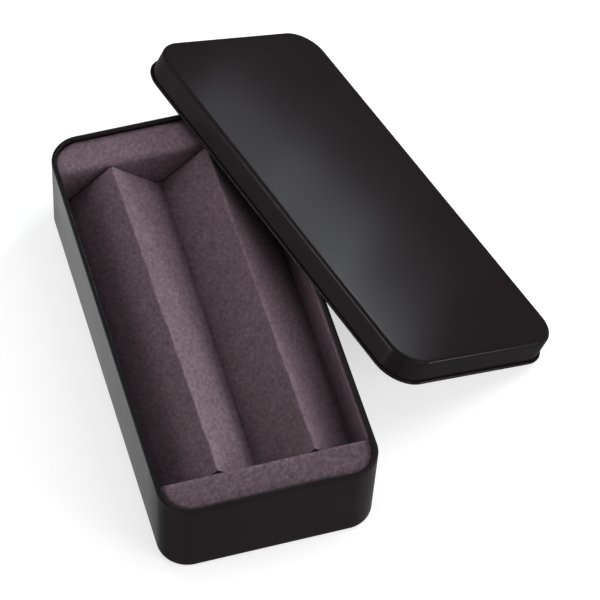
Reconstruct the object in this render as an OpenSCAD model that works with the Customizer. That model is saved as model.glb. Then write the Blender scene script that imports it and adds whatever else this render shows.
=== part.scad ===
// Two-piece drawn steel tin with a foam bed of three V-grooves.
// The lid is off and leans on the rim of the base.
// +X is the width, +Y the length towards the rear pad, +Z up.
// The origin is the centre of the base's underside.

/* [Base shell] */
// Outside length of the base at the rim
base_l = 176; // [168:1:200]
// Outside width of the base at the rim
base_w = 83.6; // [82:0.2:92]
// Height of the base
base_h = 38.2; // [38.2:0.2:42]
// Outside plan radius of the base's corners at the rim
base_r = 12; // [9:0.5:14]
// How far each wall leans in from rim to floor
base_draft = 0.5; // [0.3:0.1:1]
// Outside radius between wall and floor
floor_r = 1.6; // [1.2:0.1:2.4]
// Thickness of the sheet steel
sheet_t = 0.3; // [0.25:0.05:0.4]
// Outside diameter of the inward curl at the rim
rim_d = 2; // [1.4:0.1:2]

/* [Lid shell] */
// Height of the lid from the curl's underside to the top
lid_h = 10.9; // [9.5:0.1:12]
// Gap between the base's rim and the inside of the skirt, each side
lid_gap = 0.25; // [0.2:0.05:0.6]
// Radius between the lid's top and its skirt
lid_edge_r = 1.2; // [1:0.1:2.5]
// Outside diameter of the outward curl along the skirt's lower edge
bead_d = 1.3; // [1.2:0.1:2]

/* [Lid, taken off] */
// Turn of the lid about the vertical
lid_yaw = 16.9; // [15:0.1:18]
// Centre of the skirt's lower edge, across the width
lid_x = 64.5; // [62:0.1:66]
// Centre of the skirt's lower edge, along the length
lid_y = 39.4; // [36:0.1:42]
// Room between the lid's curl and the table
lid_lift0 = 0.1; // [0:0.05:1]
// Room between the lid's top and the rim corner it leans on
lid_rest = 0.3; // [0.25:0.05:1]

/* [Foam bed] */
// Thickness of the rear pad along the length
rear_pad_t = 13.8; // [12:0.1:16]
// Thickness of the front pad along the length
front_pad_t = 14.7; // [12:0.1:16]
// Plan radius of the pads' outer corners
pad_r = 12; // [11:0.5:14]
// Depth of the pads' tops below the rim
pad_drop = 2.2; // [2.2:0.1:4]
// Height of the valleys between the ridges above the table
valley_z = 17; // [14:0.5:22]
// Height of the ridges above the table
ridge_z = 35.6; // [30:0.2:36]
// Width of the flat along the top of each ridge
ridge_flat = 0.8; // [0.4:0.1:2]
// Thickness of the wall strips at the foot
strip_t = 3; // [2.5:0.1:4]
// Thickness of the wall strips at the top
strip_top_t = 1.5; // [1:0.1:2]

/* [Insert board] */
// Thickness of the grey board under the foam
board_t = 2; // [2:0.1:3]
// Thickness of the double-sided tape under the board
tape_t = 0.2; // [0.1:0.05:0.3]
// Width of each strip of tape
tape_w = 19; // [12:1:25]

/* [Hidden] */
$fn = 96;
// Room between the foam and the steel
slack = 0.3;
// Room between neighbouring foam pieces that are not glued
seam = 0.1;
// Lean of the base's wall from the vertical
tilt = atan(base_draft / (base_h - rim_d / 2));
// Start of the flat floor, measured inward from the rim's outside
floor_u = -base_draft - floor_r / cos(tilt) + floor_r * tan(tilt);
// Outside of the lid's skirt
lid_w = base_w + 2 * (lid_gap + sheet_t);
lid_l = base_l + 2 * (lid_gap + sheet_t);
lid_r = base_r + lid_gap + sheet_t;
// Reach of the lid's curl beyond the skirt
bead_out = bead_d - sheet_t;
// Centre of the base's rear right corner, from the lid's own origin, along the lean
corner_u = (base_w / 2 - base_r - lid_x) * cos(lid_yaw)
    + (base_l / 2 - base_r - lid_y) * sin(lid_yaw);
// Lean of the lid, right side down, at which its top comes to rest on that corner
lid_lean = lean_between(10, 60, 24);
lid_z = lid_origin_z(lid_lean);
// Levels of the insert
board_z = sheet_t + tape_t;
foam_z = board_z + board_t;
pad_z = base_h - pad_drop;
// Plan of the foam, clear of the leaning walls
foam_w = base_w - 2 * (base_draft + sheet_t + slack);
foam_l = base_l - 2 * (base_draft + sheet_t + slack);
// Inner faces of the end pads
rear_y = foam_l / 2 - rear_pad_t;
front_y = -foam_l / 2 + front_pad_t;
// Length and middle of the bed between the pads
bed_l = rear_y - front_y - 2 * seam;
bed_mid = (rear_y + front_y) / 2;
// Feet of the ridges
ridge_w = foam_w / 2 - strip_t;
// Plan of the board, inside the floor radius
board_in = base_draft + sheet_t + floor_r * 0.75;

// Points along an arc of radius r about c
function arc(c, r, a0, a1, n) =
    [for (i = [0:n]) let (a = a0 + (a1 - a0) * i / n) c + r * [cos(a), sin(a)]];

// Height of the lid's own origin at lean a, so that its low curl stands on the table
function lid_origin_z(a) = (lid_w / 2 + bead_out) * sin(a) + lid_lift0
    - bead_d / 2 * (sin(a) + cos(a) - 1);

// Room between the lid's top and the base's rear right corner at lean a
function room_at(a) = lid_h - sheet_t - rim_d / 2
    - (corner_u + base_r - rim_d / 2) * sin(a)
    - (base_h - rim_d / 2 - lid_origin_z(a)) * cos(a);

// Lean between lo and hi that leaves the room asked for
function lean_between(lo, hi, n) = let (m = (lo + hi) / 2) n == 0 ? m
    : room_at(m) < lid_rest ? lean_between(m, hi, n - 1) : lean_between(lo, m, n - 1);

// Rectangle with round corners
module rounded_rect(w, l, r) {
    square([w, l - 2 * r], center = true);
    square([w - 2 * r, l], center = true);
    for (sx = [-1, 1], sy = [-1, 1])
        translate([sx * (w / 2 - r), sy * (l / 2 - r)]) circle(r = r);
}

// Carries a profile round a rounded rectangle: the profile's X runs outward
// from the rectangle's edge and its Y runs up
module carried_round(w, l, r) {
    for (a = [0, 180]) rotate([0, 0, a]) translate([w / 2, 0, 0])
        rotate([90, 0, 0]) linear_extrude(height = l - 2 * r, center = true) children();
    for (a = [90, 270]) rotate([0, 0, a]) translate([l / 2, 0, 0])
        rotate([90, 0, 0]) linear_extrude(height = w - 2 * r, center = true) children();
    for (i = [0:3])
        translate([(i == 0 || i == 3 ? 1 : -1) * (w / 2 - r), (i < 2 ? 1 : -1) * (l / 2 - r), 0])
            rotate([0, 0, 90 * i]) rotate_extrude(angle = 90) translate([r, 0]) children();
}

// Section through the base's wall: floor radius, leaning wall, inward curl
module base_wall() {
    polygon(concat(
        arc([floor_u, floor_r], floor_r, -90, -tilt, 8),
        arc([-rim_d / 2, base_h - rim_d / 2], rim_d / 2, 0, 255, 18),
        arc([-rim_d / 2, base_h - rim_d / 2], rim_d / 2 - sheet_t, 255, 0, 14),
        arc([floor_u, floor_r], floor_r - sheet_t, -tilt, -90, 8)));
}

// Section through the lid's skirt: top edge radius, skirt, outward curl
module lid_wall() {
    polygon(concat(
        arc([-lid_edge_r, lid_h - lid_edge_r], lid_edge_r, 90, 0, 8),
        arc([bead_d / 2 - sheet_t, bead_d / 2], bead_d / 2 - sheet_t, 180, 465, 16),
        arc([bead_d / 2 - sheet_t, bead_d / 2], bead_d / 2, 465, 180, 20),
        arc([-lid_edge_r, lid_h - lid_edge_r], lid_edge_r - sheet_t, 0, 90, 8)));
}

// Plan of an end pad of that thickness: square inner edge, outer corners follow the tin
module pad_plan(thick) {
    intersection() {
        rounded_rect(foam_w, foam_l, pad_r);
        translate([-foam_w / 2, foam_l / 2 - thick]) square([foam_w, thick]);
    }
}

// Runs a section along the bed
module along_bed() {
    translate([0, bed_mid, 0]) rotate([90, 0, 0])
        linear_extrude(height = bed_l, center = true) children();
}

// Foam prism with its apex at mid-width of its foot
module ridge(x0, x1) {
    m = (x0 + x1) / 2;
    along_bed() polygon([[x0, valley_z], [x1, valley_z],
        [m + ridge_flat / 2, ridge_z], [m - ridge_flat / 2, ridge_z]]);
}

// Foam strip against a side wall
module wall_strip() {
    along_bed() polygon([[ridge_w + seam, valley_z], [foam_w / 2, valley_z],
        [foam_w / 2, ridge_z], [foam_w / 2 - strip_top_t, ridge_z]]);
}

module base_shell() {
    color([0.09, 0.085, 0.09]) {
        linear_extrude(height = sheet_t)
            rounded_rect(base_w + 2 * floor_u, base_l + 2 * floor_u, base_r + floor_u);
        carried_round(base_w, base_l, base_r) base_wall();
    }
}

module board_tape() {
    color([0.85, 0.82, 0.72])
        for (s = [-1, 1])
            translate([s * base_w / 4 - tape_w / 2, -base_l * 0.4, sheet_t])
                cube([tape_w, base_l * 0.8, tape_t]);
}

module insert_board() {
    color([0.55, 0.53, 0.5])
        translate([0, 0, board_z]) linear_extrude(height = board_t)
            rounded_rect(base_w - 2 * board_in, base_l - 2 * board_in, base_r - board_in);
}

module bed_slab() {
    color([0.38, 0.33, 0.36])
        translate([-foam_w / 2, bed_mid - bed_l / 2, foam_z])
            cube([foam_w, bed_l, valley_z - foam_z]);
}

module left_ridge() {
    color([0.4, 0.35, 0.38]) ridge(-ridge_w, -seam);
}

module right_ridge() {
    color([0.4, 0.35, 0.38]) ridge(seam, ridge_w);
}

module rear_pad() {
    color([0.42, 0.37, 0.4])
        translate([0, 0, foam_z]) linear_extrude(height = pad_z - foam_z)
            pad_plan(rear_pad_t);
}

module front_pad() {
    color([0.42, 0.37, 0.4])
        translate([0, 0, foam_z]) linear_extrude(height = pad_z - foam_z)
            rotate(180) pad_plan(front_pad_t);
}

module left_wall_strip() {
    color([0.4, 0.35, 0.38]) mirror([1, 0, 0]) wall_strip();
}

module right_wall_strip() {
    color([0.4, 0.35, 0.38]) wall_strip();
}

module lid_shell() {
    color([0.11, 0.105, 0.11])
        translate([lid_x, lid_y, lid_z]) rotate([0, lid_lean, lid_yaw]) {
            translate([0, 0, lid_h - sheet_t]) linear_extrude(height = sheet_t)
                rounded_rect(lid_w - 2 * lid_edge_r, lid_l - 2 * lid_edge_r, lid_r - lid_edge_r);
            carried_round(lid_w, lid_l, lid_r) lid_wall();
        }
}

base_shell();
board_tape();
insert_board();
bed_slab();
left_ridge();
right_ridge();
rear_pad();
front_pad();
left_wall_strip();
right_wall_strip();
lid_shell();
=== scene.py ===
import math

import bpy
import bmesh
import numpy as np
from mathutils import Matrix, Vector, noise


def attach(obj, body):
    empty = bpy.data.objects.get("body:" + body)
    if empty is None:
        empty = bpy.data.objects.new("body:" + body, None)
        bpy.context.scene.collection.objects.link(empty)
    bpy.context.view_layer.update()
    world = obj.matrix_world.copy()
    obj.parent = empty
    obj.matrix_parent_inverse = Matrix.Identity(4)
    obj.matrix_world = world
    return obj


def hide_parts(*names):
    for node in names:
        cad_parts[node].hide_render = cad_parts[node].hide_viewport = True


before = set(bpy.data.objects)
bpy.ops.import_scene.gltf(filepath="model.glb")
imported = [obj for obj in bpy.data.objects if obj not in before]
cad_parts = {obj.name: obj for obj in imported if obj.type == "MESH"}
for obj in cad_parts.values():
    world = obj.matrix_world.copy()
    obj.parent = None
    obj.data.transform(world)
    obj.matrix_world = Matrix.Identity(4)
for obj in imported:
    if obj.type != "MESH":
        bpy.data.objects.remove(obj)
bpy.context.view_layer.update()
MM = 0.001
scene = bpy.context.scene

# ---------------------------------------------------------------- sizes, in mm
BASE_L, BASE_W, BASE_H, BASE_R = 176.0, 83.6, 38.2, 12.0
DRAFT, FLOOR_R, SHEET, RIM_D = 0.5, 1.6, 0.3, 2.0
LID_H, LID_GAP, LID_EDGE, BEAD_D = 10.9, 0.25, 1.2, 1.3
LID_YAW, LID_LEAN, LID_POS = 16.9, 28.2911, (64.5, 39.4, 20.4154)
REAR_T, FRONT_T, PAD_R, PAD_DROP = 13.8, 14.7, 12.0, 2.2
VALLEY_Z, RIDGE_Z, STRIP_T, STRIP_TOP = 17.0, 35.6, 3.0, 1.5
SLACK, SEAM, FOAM_Z = 0.3, 0.1, 2.5
TILT = math.atan(DRAFT / (BASE_H - RIM_D / 2))
FLOOR_U = -DRAFT - FLOOR_R / math.cos(TILT) + FLOOR_R * math.tan(TILT)
FOAM_W = BASE_W - 2 * (DRAFT + SHEET + SLACK)
FOAM_L = BASE_L - 2 * (DRAFT + SHEET + SLACK)
REAR_Y, FRONT_Y = FOAM_L / 2 - REAR_T, -FOAM_L / 2 + FRONT_T
BED = (FRONT_Y + SEAM, REAR_Y - SEAM)
RIDGE_W = FOAM_W / 2 - STRIP_T
PAD_Z = BASE_H - PAD_DROP


# ---------------------------------------------------------------- mesh helpers
def arc(cx, cy, r, a0, a1, n):
    a = np.radians(np.linspace(a0, a1, n + 1))
    return [(cx + r * math.cos(t), cy + r * math.sin(t)) for t in a]


def line(p, q, n):
    """Points between p and q, ends left out."""
    return [(p[0] + (q[0] - p[0]) * k / n, p[1] + (q[1] - p[1]) * k / n) for k in range(1, n)]


def wob(x, y, z, size, seed=0.0):
    """Smooth noise from -1 to 1 with features of about that size, in mm."""
    return noise.noise(Vector((x / size + seed, y / size - seed * 0.7, z / size + seed * 0.3)))


def add_mesh(name, verts, faces, smooth=True):
    me = bpy.data.meshes.new(name)
    me.from_pydata([tuple(c * MM for c in v) for v in verts], [], faces)
    bm = bmesh.new()
    bm.from_mesh(me)
    bmesh.ops.remove_doubles(bm, verts=bm.verts, dist=1e-7)
    bmesh.ops.recalc_face_normals(bm, faces=bm.faces)
    bm.to_mesh(me)
    bm.free()
    for p in me.polygons:
        p.use_smooth = smooth
    ob = bpy.data.objects.new(name, me)
    scene.collection.objects.link(ob)
    return ob


def outline(w, l, r, corner=24, long=64, short=32):
    """Round the rounded rectangle: corner centres or straight points, with their outward normals."""
    mid = [(w / 2 - r, l / 2 - r), (-w / 2 + r, l / 2 - r), (-w / 2 + r, -l / 2 + r), (w / 2 - r, -l / 2 + r)]
    out = []
    for i in range(4):
        cx, cy = mid[i]
        for k in range(corner + 1):
            a = math.radians(90 * i + 90 * k / corner)
            out.append((cx, cy, math.cos(a), math.sin(a)))
        nx, ny = mid[(i + 1) % 4]
        a = math.radians(90 * i + 90)
        n = short if i in (0, 2) else long
        for k in range(1, n):
            out.append((cx + (nx - cx) * k / n, cy + (ny - cy) * k / n, math.cos(a), math.sin(a)))
    return out


def stack(rings, closed_ends=True, loop=False):
    """Vertices and faces of a stack of rings of equal count."""
    n = len(rings[0])
    verts = [p for r in rings for p in r]
    faces = []
    m = len(rings)
    for i in range(m if loop else m - 1):
        a, b = i * n, ((i + 1) % m) * n
        for k in range(n):
            k2 = (k + 1) % n
            faces.append((a + k, a + k2, b + k2, b + k))
    if closed_ends and not loop:
        faces.append(tuple(range(n)))
        faces.append(tuple((m - 1) * n + k for k in range(n)))
    return verts, faces


# ---------------------------------------------------------------- material helpers
def new_material(name):
    m = bpy.data.materials.new(name)
    m.use_nodes = True
    nt = m.node_tree
    nt.nodes.clear()
    out = nt.nodes.new("ShaderNodeOutputMaterial")
    bsdf = nt.nodes.new("ShaderNodeBsdfPrincipled")
    nt.links.new(bsdf.outputs[0], out.inputs["Surface"])
    return m, nt, bsdf


def noise_node(nt, scale, detail=2.0, rough=0.5, coord=None):
    if coord is None:
        coord = nt.nodes.new("ShaderNodeTexCoord").outputs["Object"]
    n = nt.nodes.new("ShaderNodeTexNoise")
    n.inputs["Scale"].default_value = scale
    n.inputs["Detail"].default_value = detail
    n.inputs["Roughness"].default_value = rough
    nt.links.new(coord, n.inputs["Vector"])
    return n.outputs["Fac"]


def ramp(nt, fac, stops):
    r = nt.nodes.new("ShaderNodeValToRGB")
    els = r.color_ramp.elements
    while len(els) < len(stops):
        els.new(0.5)
    for e, (pos, col) in zip(els, stops):
        e.position = pos
        e.color = (*col, 1.0) if len(col) == 3 else col
    nt.links.new(fac, r.inputs["Fac"])
    return r.outputs["Color"]


def remap(nt, fac, lo, hi, a=0.3, b=0.7):
    r = nt.nodes.new("ShaderNodeMapRange")
    r.inputs["From Min"].default_value = a
    r.inputs["From Max"].default_value = b
    r.inputs["To Min"].default_value = lo
    r.inputs["To Max"].default_value = hi
    nt.links.new(fac, r.inputs["Value"])
    return r.outputs["Result"]


def mix_color(nt, fac, a, b, mode="MIX"):
    m = nt.nodes.new("ShaderNodeMix")
    m.data_type = "RGBA"
    m.blend_type = mode
    if isinstance(fac, float):
        m.inputs["Factor"].default_value = fac
    else:
        nt.links.new(fac, m.inputs["Factor"])
    nt.links.new(a, m.inputs["A"])
    nt.links.new(b, m.inputs["B"])
    return m.outputs["Result"]


def bump(nt, bsdf, height, distance, strength=1.0, below=None):
    b = nt.nodes.new("ShaderNodeBump")
    b.inputs["Strength"].default_value = strength
    b.inputs["Distance"].default_value = distance
    nt.links.new(height, b.inputs["Height"])
    if below is not None:
        nt.links.new(below, b.inputs["Normal"])
    nt.links.new(b.outputs["Normal"], bsdf.inputs["Normal"])
    return b.outputs["Normal"]


# painted shade on the base wall towards the near corners, by y
PAINTED_NEAR_CORNER_SHADE = [(0.0, (1.0, 1.0, 1.0)), (0.05, (0.92, 0.92, 0.92)), (0.136, (0.62, 0.62, 0.62)), (0.25, (0.2, 0.2, 0.2)),
                (0.386, (0.15, 0.15, 0.15)), (0.614, (0.5, 0.5, 0.5)), (1.0, (1.0, 1.0, 1.0))]
# painted shade and a cool tint on the base's left side and left curl, by x
PAINTED_LEFT_SIDE_SHADE = [(0.17, (0.68, 0.87, 0.82)), (0.3, (0.66, 0.79, 0.77)), (0.5, (0.66, 0.72, 0.72)), (0.9, (0.66, 0.72, 0.72)), (1.0, (1.0, 1.0, 1.0))]


def round_corner(nt, lo, hi):
    """From 0 on a wall to 1 half way round a corner of the base, in metres of |x| + |y|."""
    place = nt.nodes.new("ShaderNodeSeparateXYZ")
    nt.links.new(nt.nodes.new("ShaderNodeTexCoord").outputs["Object"], place.inputs["Vector"])
    total = nt.nodes.new("ShaderNodeMath")
    for k, axis in enumerate("XY"):
        size = nt.nodes.new("ShaderNodeMath")
        size.operation = "ABSOLUTE"
        nt.links.new(place.outputs[axis], size.inputs[0])
        nt.links.new(size.outputs[0], total.inputs[k])
    return remap(nt, total.outputs[0], 0.0, 1.0, lo, hi)


def lacquer(name, dark, light, rough, ior=None, coat=None, rim=None, dull_and_painted_shade=None, painted_skirt_shade=None):
    """Satin black lacquer over drawn steel: faint mottle, uneven gloss, a little orange peel, and where asked painted
    light on the curl and painted shade on the near skirt, the near corners and the left side.
    """
    m, nt, b = new_material(name)
    cloud = noise_node(nt, 40, 2.0, 0.5)
    tint = ramp(nt, cloud, [(0.3, dark), (0.72, light)])
    if rim is not None:
        # painted light: the curl is painted a little greyer and lighter than the wall below, standing in for the light
        # it catches
        place = nt.nodes.new("ShaderNodeSeparateXYZ")
        nt.links.new(nt.nodes.new("ShaderNodeTexCoord").outputs["Object"], place.inputs["Vector"])
        painted_rim_light = ramp(nt, remap(nt, place.outputs["Z"], 0.0, 1.0, 0.0369, 0.0379), [(0.0, (1.0, 1.0, 1.0)), (1.0, rim)])
        tint = mix_color(nt, 1.0, tint, painted_rim_light, "MULTIPLY")
    if painted_skirt_shade is not None:
        # painted shade: the lid's near skirt is painted a little darker than its top
        along = nt.nodes.new("ShaderNodeVectorMath")
        along.operation = "DOT_PRODUCT"
        turn = math.radians(LID_YAW)
        along.inputs[1].default_value = (-math.sin(turn), math.cos(turn), 0.0)
        nt.links.new(nt.nodes.new("ShaderNodeTexCoord").outputs["Object"], along.inputs[0])
        near_end = (LID_POS[1] * math.cos(turn) - LID_POS[0] * math.sin(turn) - BASE_L / 2 - LID_GAP - SHEET) * MM
        painted_shade_tone = ramp(nt, remap(nt, along.outputs["Value"], 0.0, 1.0, near_end + 0.0001, near_end + 0.0008), [(0.0, (painted_skirt_shade, painted_skirt_shade, painted_skirt_shade)), (1.0, (1.0, 1.0, 1.0))])
        tint = mix_color(nt, 1.0, tint, painted_shade_tone, "MULTIPLY")
    under = rough if coat is None else 0.6
    gloss = remap(nt, noise_node(nt, 300, 2.0, 0.5), under - 0.015, under + 0.02)
    if dull_and_painted_shade is not None:
        # the coat is duller round the drawn corners and towards the near end; painted shade makes the wall below the
        # curl darker at the near corners, and the left side is painted darker and cooler
        place = nt.nodes.new("ShaderNodeSeparateXYZ")
        nt.links.new(nt.nodes.new("ShaderNodeTexCoord").outputs["Object"], place.inputs["Vector"])
        # painted shade: the wall below the curl is darker towards the near corners
        painted_shade_tone = ramp(nt, remap(nt, place.outputs["Y"], 0.0, 1.0, -0.0875, -0.0655), PAINTED_NEAR_CORNER_SHADE)
        tint = mix_color(nt, remap(nt, place.outputs["Z"], 1.0, 0.0, 0.0352, 0.0372), tint, painted_shade_tone, "MULTIPLY")
        # painted shade: the left wall is painted cooler and darker, and darker still along the left curl
        painted_left_shade = ramp(nt, remap(nt, place.outputs["X"], 0.0, 1.0, -0.0418, -0.0388), PAINTED_LEFT_SIDE_SHADE)
        tint = mix_color(nt, 1.0, tint, painted_left_shade, "MULTIPLY")
        near = remap(nt, place.outputs["Y"], 1.0, 0.0, -0.06, 0.03)
        for where, amount in zip((round_corner(nt, 0.104, 0.1228), near), dull_and_painted_shade):
            more = nt.nodes.new("ShaderNodeMath")
            more.operation = "MULTIPLY_ADD"
            more.inputs[1].default_value = amount
            nt.links.new(where, more.inputs[0])
            nt.links.new(gloss, more.inputs[2])
            gloss = more.outputs[0]
    nt.links.new(tint, b.inputs["Base Color"])
    nt.links.new(gloss, b.inputs["Roughness"])
    bump(nt, b, noise_node(nt, 260, 1.0, 0.4), 0.000012, 0.3)
    if ior is not None:
        b.inputs["IOR"].default_value = ior
    if coat is not None:
        b.inputs["Specular IOR Level"].default_value = 0.0
        b.inputs["Coat Weight"].default_value = coat
        b.inputs["Coat Roughness"].default_value = rough
    return m


# Painted shade and light on the foam: painted shade up from the folds, painted light up to a ridge's crest, painted
# shade and light across the left groove, painted light and shade along the pads, painted shade towards the near end of
# the right ridge
PAINTED_FOLD_SHADE = [(0.03, (0.52, 0.51, 0.52)), (0.14, (0.79, 0.785, 0.79)), (0.25, (0.95, 0.95, 0.95)), (0.36, (1.0, 1.0, 1.0))]
# painted light: lighter towards a ridge's crest
PAINTED_CREST_LIGHT = [(0.1, (1.0, 1.0, 1.0)), (0.8, (1.11, 1.11, 1.11))]
PAINTED_SOFT_CREST_LIGHT = [(0.1, (1.0, 1.0, 1.0)), (0.8, (1.04, 1.04, 1.04))]
# painted shade near the left wall and painted light towards the left ridge's crest, by x
PAINTED_GROOVE_SHADE_AND_LIGHT = [(0.0, (0.57, 0.56, 0.57)), (0.112, (0.55, 0.54, 0.55)), (0.179, (0.66, 0.65, 0.66)), (0.235, (0.86, 0.855, 0.86)),
          (0.296, (1.09, 1.09, 1.09)), (0.364, (1.14, 1.14, 1.14)), (0.459, (1.10, 1.10, 1.10)), (0.53, (1.02, 1.02, 1.02)),
          (0.618, (1.09, 1.09, 1.09)), (0.823, (1.09, 1.09, 1.09)), (0.97, (1.0, 1.0, 1.0))]
# painted light on the front pad's top, strongest along its inner edge
PAINTED_PAD_TOP_LIGHT = [(0.0, (1.06, 1.06, 1.06)), (0.32, (1.02, 1.02, 1.02)), (0.46, (1.06, 1.06, 1.06)), (0.70, (1.12, 1.12, 1.12)),
           (0.86, (1.14, 1.14, 1.14)), (0.93, (1.30, 1.30, 1.30)), (1.0, (1.38, 1.38, 1.38))]
# painted shadow along the front pad's outer edge
PAINTED_PAD_EDGE_SHADOW = [(0.13, (1.0, 1.0, 1.0)), (0.33, (0.88, 0.88, 0.88)), (0.53, (0.62, 0.62, 0.62)), (0.72, (0.40, 0.40, 0.40)), (0.92, (0.32, 0.32, 0.32))]
# painted shade: the rear pad's face is darker towards its foot
PAINTED_PAD_FACE_SHADE = [(0.0, (0.85, 0.85, 0.85)), (1.0, (1.0, 1.0, 1.0))]
# painted shade: the right ridge is darker towards the near end
PAINTED_NEAR_END_SHADE = [(0.0, (0.86, 0.86, 0.86)), (0.45, (0.89, 0.89, 0.89)), (1.0, (1.0, 1.0, 1.0))]


def along_pile(nt):
    """Coordinates drawn out along the way the nap leans: up and towards the near left."""
    turn, flat = nt.nodes.new("ShaderNodeMapping"), nt.nodes.new("ShaderNodeMapping")
    lean = Matrix.Rotation(math.radians(-35), 3, "Y") @ Matrix.Rotation(math.radians(110), 3, "Z")
    turn.inputs["Rotation"].default_value = tuple(lean.to_euler("XYZ"))
    flat.inputs["Scale"].default_value = (1.0, 1.0, 0.5)
    nt.links.new(nt.nodes.new("ShaderNodeTexCoord").outputs["Object"], turn.inputs["Vector"])
    nt.links.new(turn.outputs["Vector"], flat.inputs["Vector"])
    return flat.outputs["Vector"]


def foam(name, painted_darkening=1.0, painted_tones=(), grit=0.0, edge=None):
    """Mauve foam with a soft nap: coarse grain, broad mottle, very little shine, with painted shade and light from the
    tones given and along an outer edge.
    """
    m, nt, b = new_material(name)
    col = lambda k, *c: tuple(v * painted_darkening * k for v in c)
    pile = along_pile(nt)
    speck = noise_node(nt, 700, 3.5, 0.58, pile)
    grain = ramp(nt, speck, [(0.26, col(1 - grit, 0.109, 0.0755, 0.0885)), (0.50, col(1.0, 0.163, 0.1155, 0.1345)), (0.76, col(1 + grit, 0.215, 0.1565, 0.1795))])
    cloud = noise_node(nt, 190, 3.0, 0.6, pile)
    shade = ramp(nt, cloud, [(0.28, tuple(v - 0.2 * grit for v in (0.84, 0.83, 0.84))), (0.72, (1.0, 1.0, 1.0))])
    place = nt.nodes.new("ShaderNodeSeparateXYZ")
    nt.links.new(nt.nodes.new("ShaderNodeTexCoord").outputs["Object"], place.inputs["Vector"])
    for axis, lo, hi, stops in (("Z", 0.016, 0.034, PAINTED_FOLD_SHADE),) + tuple(painted_tones):
        painted_tone = ramp(nt, remap(nt, place.outputs[axis], 0.0, 1.0, lo, hi), stops)
        # painted tones along the length belong to the top of a piece
        on = remap(nt, place.outputs["Z"], 0.0, 1.0, 0.0325, 0.0345) if axis == "Y" and stops is PAINTED_PAD_TOP_LIGHT else 1.0
        shade = mix_color(nt, on, shade, painted_tone, "MULTIPLY")
    if edge is not None:
        # painted shadow: the foam is painted darker along its outer edge where it meets the curl
        far = nt.nodes.new("ShaderNodeTexCoord").outputs["Object"]
        for step, other in (("ABSOLUTE", None), ("SUBTRACT", edge), ("MAXIMUM", (0.0, 0.0, 0.0)), ("MULTIPLY", (1.0, 1.0, 0.0)), ("LENGTH", None)):
            v = nt.nodes.new("ShaderNodeVectorMath")
            v.operation = step
            nt.links.new(far, v.inputs[0])
            if other is not None:
                v.inputs[1].default_value = other
            far = v.outputs["Value" if step == "LENGTH" else "Vector"]
        painted_tone = ramp(nt, remap(nt, far, 0.0, 1.0, 0.0082, 0.0103), PAINTED_PAD_EDGE_SHADOW)
        shade = mix_color(nt, remap(nt, place.outputs["X"], 1.0, 0.0, 0.020, 0.034), shade, painted_tone, "MULTIPLY")
    nt.links.new(mix_color(nt, 1.0, grain, shade, "MULTIPLY"), b.inputs["Base Color"])
    nt.links.new(remap(nt, speck, 0.86, 1.0), b.inputs["Roughness"])
    first = bump(nt, b, noise_node(nt, 420, 2.0, 0.5, pile), 0.00022, 0.4)
    bump(nt, b, speck, 0.00008, 0.5, first)
    b.inputs["Specular IOR Level"].default_value = 0.06
    b.inputs["Sheen Weight"].default_value = 0.05
    b.inputs["Sheen Roughness"].default_value = 0.5
    b.inputs["Sheen Tint"].default_value = (0.80, 0.68, 0.74, 1.0)
    return m


def card(name, dark, light, fibre):
    """Grey board or paper: fibres and flecks."""
    m, nt, b = new_material(name)
    co = nt.nodes.new("ShaderNodeTexCoord").outputs["Object"]
    mp = nt.nodes.new("ShaderNodeMapping")
    mp.inputs["Scale"].default_value = (1.0, 0.35, 1.0)
    nt.links.new(co, mp.inputs["Vector"])
    f = noise_node(nt, fibre, 4.0, 0.7, mp.outputs["Vector"])
    nt.links.new(ramp(nt, f, [(0.32, dark), (0.66, light)]), b.inputs["Base Color"])
    nt.links.new(remap(nt, f, 0.75, 0.95), b.inputs["Roughness"])
    bump(nt, b, f, 0.00008, 0.5)
    b.inputs["Specular IOR Level"].default_value = 0.3
    return m


# painted light on the curl; painted shade at the near corners and on the left side
base_lacquer = lacquer("base_lacquer", (0.0105, 0.0075, 0.0082), (0.0125, 0.0089, 0.0098), 0.12, ior=1.06, rim=(1.45, 1.65, 1.6), dull_and_painted_shade=(0.15, 0.10))
# painted shade on the lid's near skirt
lid_lacquer = lacquer("lid_lacquer", (0.0095, 0.0072, 0.0078), (0.0109, 0.0083, 0.0090), 0.16, coat=0.08, painted_skirt_shade=0.76)
foam_mat = foam("mauve_foam")
# copies of the foam with painted shade and light: the left groove, the crests, the near end of the right ridge and the
# rear pad's face
left_foam_mat = foam("mauve_foam_left", painted_tones=[("X", -0.036, -0.002, PAINTED_GROOVE_SHADE_AND_LIGHT)])
left_ridge_mat = foam("mauve_foam_left_ridge", painted_tones=[("X", -0.036, -0.002, PAINTED_GROOVE_SHADE_AND_LIGHT), ("Z", 0.0336, 0.0356, PAINTED_SOFT_CREST_LIGHT)])
right_ridge_mat = foam("mauve_foam_right_ridge", painted_tones=[("Y", -0.073, -0.026, PAINTED_NEAR_END_SHADE), ("Z", 0.0336, 0.0356, PAINTED_CREST_LIGHT)])
# painted shade: a much darker copy of the foam for the walls of the notch
painted_gap_shade_mat = foam("mauve_foam_painted_gap_shade", 0.2)
# painted shade and light: a darker copy of the foam for the front pad, with painted light along its top and a painted
# shadow along its outer edge
front_foam_mat = foam("mauve_foam_front", 0.72, painted_tones=[("Y", -0.0869, -0.0722, PAINTED_PAD_TOP_LIGHT)], grit=0.13,
                      edge=((FOAM_W / 2 - PAD_R) * MM, (FOAM_L / 2 - PAD_R) * MM, 0.0))
rear_foam_mat = foam("mauve_foam_rear", painted_tones=[("Z", 0.029, 0.0335, PAINTED_PAD_FACE_SHADE)])
board_mat = card("grey_board", (0.17, 0.16, 0.145), (0.32, 0.30, 0.275), 900)
tape_mat = card("tape_paper", (0.60, 0.55, 0.42), (0.74, 0.69, 0.54), 1600)


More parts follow.
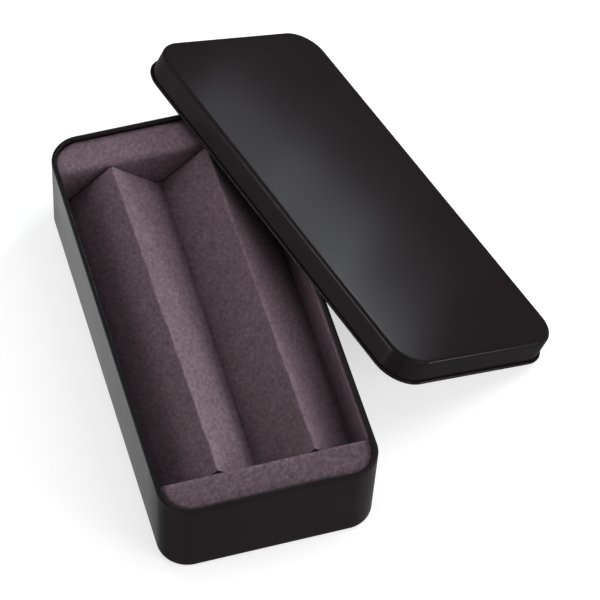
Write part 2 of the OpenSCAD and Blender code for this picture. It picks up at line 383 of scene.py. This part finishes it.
# ---------------------------------------------------------------- base
def build_base():
    path = outline(BASE_W, BASE_L, BASE_R)
    foot = arc(FLOOR_U, FLOOR_R, FLOOR_R, -90, -math.degrees(TILT), 12)
    curl = arc(-RIM_D / 2, BASE_H - RIM_D / 2, RIM_D / 2, 0, 255, 34)
    curl_in = arc(-RIM_D / 2, BASE_H - RIM_D / 2, RIM_D / 2 - SHEET, 255, 0, 28)
    foot_in = arc(FLOOR_U, FLOOR_R, FLOOR_R - SHEET, -math.degrees(TILT), -90, 10)
    prof = [(FLOOR_U - 6, 0), (FLOOR_U - 1, 0)] + foot + line(foot[-1], curl[0], 16) + curl + curl_in
    prof += line(curl_in[-1], foot_in[0], 12) + foot_in + [(FLOOR_U - 1, SHEET), (FLOOR_U - 6, SHEET)]
    rings = []
    for u, z in prof:
        soft = max(0.0, math.sin(math.pi * min(1, max(0, (z - 3) / (BASE_H - 7))))) * 0.07
        ring = []
        for cx, cy, nx, ny in path:
            x, y = cx + (BASE_R + u) * nx, cy + (BASE_R + u) * ny
            d = soft * wob(x, y, z, 34, 3.1) if soft else 0.0
            ring.append((x + d * nx, y + d * ny, z))
        rings.append(ring)
    return add_mesh("base_tin", *stack(rings))


base = build_base()
base.data.materials.append(base_lacquer)
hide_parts("base_shell")
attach(base, "tin")


# ---------------------------------------------------------------- lid
def build_lid():
    w, l = BASE_W + 2 * (LID_GAP + SHEET), BASE_L + 2 * (LID_GAP + SHEET)
    r = BASE_R + LID_GAP + SHEET
    path = outline(w, l, r)
    edge = arc(-LID_EDGE, LID_H - LID_EDGE, LID_EDGE, 90, 0, 16)
    bead_in = arc(BEAD_D / 2 - SHEET, BEAD_D / 2, BEAD_D / 2 - SHEET, 180, 465, 22)
    bead = arc(BEAD_D / 2 - SHEET, BEAD_D / 2, BEAD_D / 2, 465, 180, 30)
    edge_in = arc(-LID_EDGE, LID_H - LID_EDGE, LID_EDGE - SHEET, 0, 90, 12)
    inner = [0.35, 1.2, 3, 6, 10, 15, 20, 25, 30, 35, 38.5]
    plate = [(-LID_EDGE - d, LID_H) for d in reversed(inner)]
    under = [(-LID_EDGE - d, LID_H - SHEET) for d in inner]
    prof = plate + edge + line(edge[-1], bead_in[0], 8) + bead_in + bead + line(bead[-1], edge_in[0], 8) + edge_in + under
    rot = Matrix.Rotation(math.radians(LID_YAW), 4, "Z") @ Matrix.Rotation(math.radians(LID_LEAN), 4, "Y")
    place = Matrix.Translation(LID_POS) @ rot
    rings = []
    for u, z in prof:
        ring = []
        for cx, cy, nx, ny in path:
            rr = r + u
            if rr >= 2.0:
                x, y = cx + rr * nx, cy + rr * ny
            else:
                # past the corner's own radius the ring shrinks with a small constant radius
                d = 2.0 - rr
                hx, hy = w / 2 - r, l / 2 - r
                x = cx * max(0.0, (hx - d)) / hx + 2.0 * nx
                y = cy * max(0.0, (hy - d)) / hy + 2.0 * ny
            zz = z
            if u < -LID_EDGE:
                # the pressed top is very slightly crowned
                k = (1 - (2 * x / w) ** 2) * (1 - (2 * y / l) ** 2)
                zz += 0.16 * max(0.0, k) + 0.012 * wob(x, y, 0, 45, 8.3) * min(1, (-LID_EDGE - u) / 6)
            p = place @ Vector((x, y, zz))
            ring.append(tuple(p))
        rings.append(ring)
    return add_mesh("lid_tin", *stack(rings))


lid = build_lid()
lid.data.materials.append(lid_lacquer)
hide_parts("lid_shell")
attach(lid, "lid")


# ---------------------------------------------------------------- foam
def stations(lo, hi, r, step):
    """Places along the length, close together at the rounded ends, with the inset there."""
    ends = [r * (1 - math.cos(math.radians(a))) for a in (0, 15, 30, 45, 60, 75, 90)]
    ins = [r * (1 - math.sin(math.radians(a))) for a in (0, 15, 30, 45, 60, 75, 90)]
    n = max(2, int(round((hi - lo - 2 * r) / step)))
    ys = [lo + e for e in ends] + [lo + r + (hi - lo - 2 * r) * k / n for k in range(1, n)] + [hi - e for e in reversed(ends)]
    es = ins + [0.0] * (n - 1) + list(reversed(ins))
    return ys, es


def rounded_section(corners, radii, step=0.9):
    """Closed loop through the corners with each one rounded, and points along the flats."""
    n = len(corners)
    loops = []
    for i in range(n):
        p, a, b = np.array(corners[i]), np.array(corners[i - 1]), np.array(corners[(i + 1) % n])
        u, v = (a - p) / np.linalg.norm(a - p), (b - p) / np.linalg.norm(b - p)
        half = math.acos(max(-1, min(1, float(u @ v)))) / 2
        r = radii[i]
        t = min(r / math.tan(half), 0.48 * min(np.linalg.norm(a - p), np.linalg.norm(b - p)))
        r = t * math.tan(half)
        c = p + (u + v) / np.linalg.norm(u + v) * (r / math.sin(half))
        s, e = p + u * t, p + v * t
        a0 = math.atan2(*(s - c)[::-1])
        a1 = math.atan2(*(e - c)[::-1])
        d = (a1 - a0 + math.pi) % (2 * math.pi) - math.pi
        m = 6
        loops.append([(c[0] + r * math.cos(a0 + d * k / m), c[1] + r * math.sin(a0 + d * k / m)) for k in range(m + 1)])
    return loops


def section_points(loops, counts):
    out = []
    n = len(loops)
    for i in range(n):
        out += loops[i]
        out += line(loops[i][-1], loops[(i + 1) % n][0], counts[i])
    return out


def foam_bar(name, node, corners_at, radii, counts, end_r, step=0.9, nap=0.10, seed=0.0, fixed=None, mat=foam_mat, notch=0.0):
    """A foam bar along the length. corners_at(y, inset) gives its section there."""
    ys, es = stations(*BED, end_r, step)
    cut = BED[0] + notch
    if notch:
        far = [(y, e) for y, e in zip(ys, es) if y > BED[0] + 2.0]
        near = [BED[0], BED[0] + notch / 2, cut - 0.02, cut + 0.02, cut + 0.3]
        ys, es = near + [y for y, _ in far], [0.0] * len(near) + [e for _, e in far]
    rings = []
    for y, e in zip(ys, es):
        pts = section_points(rounded_section(corners_at(y, e), radii), counts)
        mx, mz = sum(p[0] for p in pts) / len(pts), sum(p[1] for p in pts) / len(pts)
        ring = []
        for x, z in pts:
            if fixed is not None and fixed(x, z):
                ring.append((x, y, z))
                continue
            d = nap * (0.6 * wob(x, y, z, 9.0, seed) + 0.4 * wob(x, y, z, 3.0, seed + 5) + 0.25 * wob(x, y, z, 1.6, seed + 9)) - nap * 0.55
            q = math.hypot(x - mx, z - mz) or 1.0
            ring.append((x + d * (x - mx) / q, y, z + d * (z - mz) / q))
        rings.append(ring)
    ob = add_mesh(name, *stack(rings))
    ob.data.materials.append(mat)
    if notch:
        # the walls of the notch: painted shade, a dark material deep in the gap, with a sharp edge
        ob.data.materials.append(painted_gap_shade_mat)
        for p in ob.data.polygons:
            if p.center.y < (cut + 0.01) * MM and p.center.z > (RIDGE_Z - 5.0) * MM:
                p.material_index = 1
                p.use_smooth = False
    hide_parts(node)
    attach(ob, "tin")
    return ob


def ridge_corners(x0, x1, drift_rear, drift_front, rise_rear, rise_front, notch, seed):
    def at(y, e):
        t = (y - BED[0]) / (BED[1] - BED[0])
        m = (x0 + x1) / 2 + drift_front * (1 - t) + drift_rear * t
        m += 0.26 * wob(0, y, 0, 6.5, seed) + 0.14 * wob(0, y, 0, 2.6, seed + 3)
        top = RIDGE_Z + rise_front * (1 - t) + rise_rear * t
        rise = top - VALLEY_Z
        al, ar = math.atan2(rise, m - x0), math.atan2(rise, x1 - m)
        # the crest stops a little short of the front pad and runs out softly at the rear one
        zt = top - (1.4 if y < BED[0] + notch else 0.0) if y < 0 else top - 2.9 * math.sqrt(max(0.0, e) / 1.5)
        lx = x0 + e / math.sin(al) + (zt - VALLEY_Z) / math.tan(al)
        rx = x1 - e / math.sin(ar) - (zt - VALLEY_Z) / math.tan(ar)
        if rx - lx < 0.5:
            c = (lx + rx) / 2
            lx, rx = c - 0.25, c + 0.25
        return [(x0 + e / math.sin(al), VALLEY_Z), (x1 - e / math.sin(ar), VALLEY_Z), (rx, zt), (lx, zt)]
    return at


on_slab = lambda x, z: z < VALLEY_Z + 0.02
foam_bar("foam_ridge_left", "left_ridge", ridge_corners(-RIDGE_W, -SEAM, -0.6, 1.6, -0.1, 0.3, 0.9, 1.3), (0.05, 0.05, 0.55, 0.55), (20, 26, 3, 26), 1.5, seed=1.7, fixed=on_slab, mat=left_ridge_mat, notch=0.9)
foam_bar("foam_ridge_right", "right_ridge", ridge_corners(SEAM, RIDGE_W, -0.6, 0.7, -0.2, 0.3, 0.6, 5.6), (0.05, 0.05, 0.55, 0.55), (20, 26, 3, 26), 1.5, seed=4.2, fixed=on_slab, mat=right_ridge_mat, notch=0.6)


def strip_corners(side, low):
    def at(y, e):
        foot, wall, top = RIDGE_W + SEAM, FOAM_W / 2, RIDGE_Z - low
        pts = [(foot + e * 0.3, VALLEY_Z), (wall, VALLEY_Z), (wall, top - e), (wall - STRIP_TOP + e * 0.3, top - e)]
        return pts if side > 0 else [(-x, z) for x, z in reversed(pts)]
    return at


on_wall = lambda x, z: z < VALLEY_Z + 0.02 or abs(x) > FOAM_W / 2 - 0.02
foam_bar("foam_strip_right", "right_wall_strip", strip_corners(1, 0.0), (0.05, 0.05, 0.3, 1.3), (4, 22, 3, 24), 0.7, seed=6.6, nap=0.07, fixed=on_wall)
foam_bar("foam_strip_left", "left_wall_strip", strip_corners(-1, 2.4), (0.6, 0.45, 0.05, 0.05), (3, 22, 4, 24), 0.7, seed=7.9, nap=0.07, fixed=on_wall, mat=left_foam_mat)


def slab_corners(y, e):
    w = FOAM_W / 2 - 0.02
    return [(-w, FOAM_Z), (w, FOAM_Z), (w, VALLEY_Z), (-w, VALLEY_Z)]


foam_bar("foam_bed", "bed_slab", slab_corners, (0.4, 0.4, 0.25, 0.25), (60, 12, 60, 12), 0.5, step=2.5, seed=9.3, nap=0.03, fixed=lambda x, z: z > VALLEY_Z - 0.02)


def spread(a, b, r0, r1, step):
    """Places from a to b: close together over the rounded edges r0 and r1, step apart between."""
    turn = [1 - math.cos(math.radians(t)) for t in (0, 12, 24, 36, 48, 60, 70, 80, 90)]
    n = max(2, int(round((b - a - r0 - r1) / step)))
    mid = [a + r0 + (b - a - r0 - r1) * k / n for k in range(1, n)]
    return [a + r0 * t for t in turn] + mid + [b - r1 * t for t in reversed(turn)]


def edge_drop(d, r):
    """Fall of a rounded edge of radius r at distance d from it."""
    return r - math.sqrt(max(0.0, r * r - (r - d) ** 2)) if d < r else 0.0


def build_pad(name, node, sign, thick, inner_r, outer_r, seed, mat):
    """End pad: a top with rounded edges over the plan, and walls down to the board."""
    w, y0, y1 = FOAM_W / 2, FOAM_L / 2 - thick, FOAM_L / 2
    top = PAD_Z - 0.16
    rows = spread(y0, y1, inner_r, outer_r, 0.8)
    cols = [x / w for x in spread(-w, w, outer_r, outer_r, 0.9)]

    def reach(y):
        q = max(0.0, y - (y1 - PAD_R))
        return w - PAD_R + math.sqrt(max(0.0, PAD_R ** 2 - q * q))

    def outside(x, y):
        """Distance to the outer outline, and the way out."""
        qx, qy = abs(x) - (w - PAD_R), y - (y1 - PAD_R)
        if qx > 0 and qy > 0:
            h = math.hypot(qx, qy) or 1.0
            return PAD_R - h, math.copysign(qx / h, x), qy / h
        if w - abs(x) < y1 - y:
            return w - abs(x), math.copysign(1.0, x), 0.0
        return y1 - y, 0.0, 1.0

    def nap(x, y, z):
        return 0.6 * wob(x, y, z, 10, seed) + 0.45 * wob(x, y, z, 3.2, seed + 4) + 0.25 * wob(x, y, z, 1.8, seed + 8)

    grid = []
    for y in rows:
        line_ = []
        for c in cols:
            x = c * reach(y)
            d_in, d_out = y - y0, max(0.0, outside(x, y)[0])
            # the side edge takes the inner edge's radius where the two meet
            blend = max(0.0, 1 - d_in / 6.0) ** 2
            side_r = outer_r + (inner_r - outer_r) * blend
            a, b = edge_drop(d_in, inner_r), edge_drop(d_out, side_r)
            fall = (a ** 4 + b ** 4) ** 0.25
            fall = min(fall, max(inner_r, side_r))
            crown = 0.20 * (1 - ((y - y0 - thick / 2) / (thick / 2)) ** 2) * (1 - c * c) - 0.20
            line_.append((x, y, top - fall + crown + 0.10 * nap(x, y, 0.0)))
        grid.append(line_)
    nr, nc = len(rows), len(cols)
    verts = [p for line_ in grid for p in line_]
    faces = [(i * nc + k, i * nc + k + 1, (i + 1) * nc + k + 1, (i + 1) * nc + k) for i in range(nr - 1) for k in range(nc - 1)]
    rim = [k for k in range(nc)] + [i * nc + nc - 1 for i in range(1, nr)]
    rim += [(nr - 1) * nc + k for k in range(nc - 2, -1, -1)] + [i * nc for i in range(nr - 2, 0, -1)]
    last = rim
    steps = 14
    for s in range(1, steps + 1):
        new = []
        for j, v in enumerate(rim):
            x, y, z = verts[v]
            if y - y0 < 1e-6:
                nx, ny = 0.0, -1.0
            else:
                _, nx, ny = outside(x, y)
            zz = z + (FOAM_Z - z) * s / steps
            d = min(0.0, 0.10 * nap(x, y, zz) - 0.05) if s < steps else 0.0
            new.append(len(verts))
            verts.append((x + nx * d, y + ny * d, zz))
        for k in range(len(rim)):
            k2 = (k + 1) % len(rim)
            faces.append((last[k], last[k2], new[k2], new[k]))
        last = new
    faces.append(tuple(last))
    ob = add_mesh(name, [(x, sign * y, z) for x, y, z in verts], faces)
    ob.data.materials.append(mat)
    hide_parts(node)
    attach(ob, "tin")
    return ob


build_pad("foam_pad_rear", "rear_pad", 1, REAR_T, 2.2, 0.7, 11.4, rear_foam_mat)
build_pad("foam_pad_front", "front_pad", -1, FRONT_T, 0.7, 2.3, 13.8, front_foam_mat)

# ---------------------------------------------------------------- pieces kept from the frame
for node, mat in (("insert_board", board_mat), ("board_tape", tape_mat)):
    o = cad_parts[node]
    o.data.materials.clear()
    o.data.materials.append(mat)

# ---------------------------------------------------------------- floor
fm, fnt, fb = new_material("pale_floor")
fn = noise_node(fnt, 6, 3.0, 0.5)
fnt.links.new(ramp(fnt, fn, [(0.3, (0.54, 0.54, 0.54)), (0.7, (0.56, 0.56, 0.56))]), fb.inputs["Base Color"])
fb.inputs["Roughness"].default_value = 0.9
fb.inputs["Specular IOR Level"].default_value = 0.1
fb.inputs["Emission Color"].default_value = (1.0, 1.0, 1.0, 1.0)
fb.inputs["Emission Strength"].default_value = 0.62
floor_me = bpy.data.meshes.new("floor")
floor_me.from_pydata([(-4, -4, -0.0002), (4, -4, -0.0002), (4, 4, -0.0002), (-4, 4, -0.0002)], [], [(0, 1, 2, 3)])
floor = bpy.data.objects.new("floor", floor_me)
scene.collection.objects.link(floor)
floor.data.materials.append(fm)

# ---------------------------------------------------------------- light
world = bpy.data.worlds.new("studio")
scene.world = world
world.use_nodes = True
bg = world.node_tree.nodes["Background"]
bg.inputs["Color"].default_value = (1.0, 1.0, 1.0, 1.0)
bg.inputs["Strength"].default_value = 0.2


def softbox(name, at, aim, size_x, size_y, power, color=(1, 1, 1)):
    d = bpy.data.lights.new(name, "AREA")
    d.shape = "RECTANGLE"
    d.size, d.size_y = size_x, size_y
    d.energy = power
    d.color = color
    o = bpy.data.objects.new(name, d)
    scene.collection.objects.link(o)
    o.location = Vector(at)
    o.rotation_mode = "QUATERNION"
    o.rotation_quaternion = (Vector(aim) - Vector(at)).to_track_quat("-Z", "Y")
    o.visible_camera = False
    return o


MIDDLE = (0.01, 0.01, 0.02)


def around(elevation, turn, distance=1.1):
    """A place at that elevation and turn from +X, in degrees, about the middle of the tin."""
    e, t = math.radians(elevation), math.radians(turn)
    return tuple(m + distance * c for m, c in zip(MIDDLE, (math.cos(e) * math.cos(t), math.cos(e) * math.sin(t), math.sin(e))))


ON_LID, LID_NEAR, LID_SIDE = (0.05, 0.03, 0.04), (0.095, -0.045, 0.03), (0.03, 0.02, 0.045)
COOL = (0.88, 0.945, 1.0)
LIGHTS = (
    ("right", around(42, 0), MIDDLE, 0.5, 0.5, 2.09),
    ("right_high", around(66, 0), MIDDLE, 0.5, 0.5, 1.64),
    ("front_right", around(20, 315), MIDDLE, 0.5, 0.5, 4.75),
    ("front_high", around(42, 300), MIDDLE, 0.5, 0.5, 1.13),
    ("left", around(20, 180), MIDDLE, 0.5, 0.5, 1.37),
    ("rear_left", around(20, 135), MIDDLE, 0.5, 0.5, 0.77),
    ("top", around(88, 0), MIDDLE, 0.5, 0.5, 0.59),
    ("rear_near", around(55, 110, 0.45), (0.0, 0.05, 0.03), 0.2, 0.2, 0.38),
    ("low_left", (-1.08, 0.02, 0.06), LID_SIDE, 0.55, 0.05, 12.05),
    ("edge_1", (0.574, -0.182, 0.074), LID_NEAR, 0.08, 0.08, 0.60),
    ("edge_2", (0.551, -0.248, 0.056), LID_NEAR, 0.08, 0.08, 0.54),
    ("gleam_1", (0.389, 0.288, 0.1525), ON_LID, 0.06, 0.06, 0.228, COOL),
    ("gleam_2", (0.354, 0.331, 0.126), ON_LID, 0.06, 0.06, 0.136, COOL),
    ("gleam_3", (0.3161, 0.3712, 0.126), ON_LID, 0.06, 0.06, 0.095, COOL),
    ("gleam_4", (0.340, 0.317, 0.244), ON_LID, 0.06, 0.06, 0.85, COOL),
    ("gleam_5", (0.3867, 0.3001, 0.1141), ON_LID, 0.06, 0.06, 0.016, COOL),
)
for args in LIGHTS:
    softbox(*args)

# ---------------------------------------------------------------- camera
cd = bpy.data.cameras.new("camera")
cam = bpy.data.objects.new("camera", cd)
scene.collection.objects.link(cam)
cd.sensor_fit = "HORIZONTAL"
cd.sensor_width = 36.0
cd.lens = 228.0634
cd.clip_start, cd.clip_end = 0.05, 30.0
az, el, roll = math.radians(-19.83167), math.radians(55.35742), math.radians(4.13730)
back = Vector((math.sin(az) * math.cos(el), -math.cos(az) * math.cos(el), math.sin(el)))
right = Vector((0, 0, 1)).cross(back).normalized()
up = back.cross(right)
x2 = math.cos(roll) * right + math.sin(roll) * up
y2 = -math.sin(roll) * right + math.cos(roll) * up
mat = Matrix((x2, y2, back)).transposed().to_4x4()
mat.translation = Vector((-0.242454, -0.770044, 1.210425))
cam.matrix_world = mat
scene.camera = cam

scene.view_settings.view_transform = "Standard"
scene.view_settings.look = "None"
scene.view_settings.exposure = 0.0
scene.view_settings.gamma = 1.0
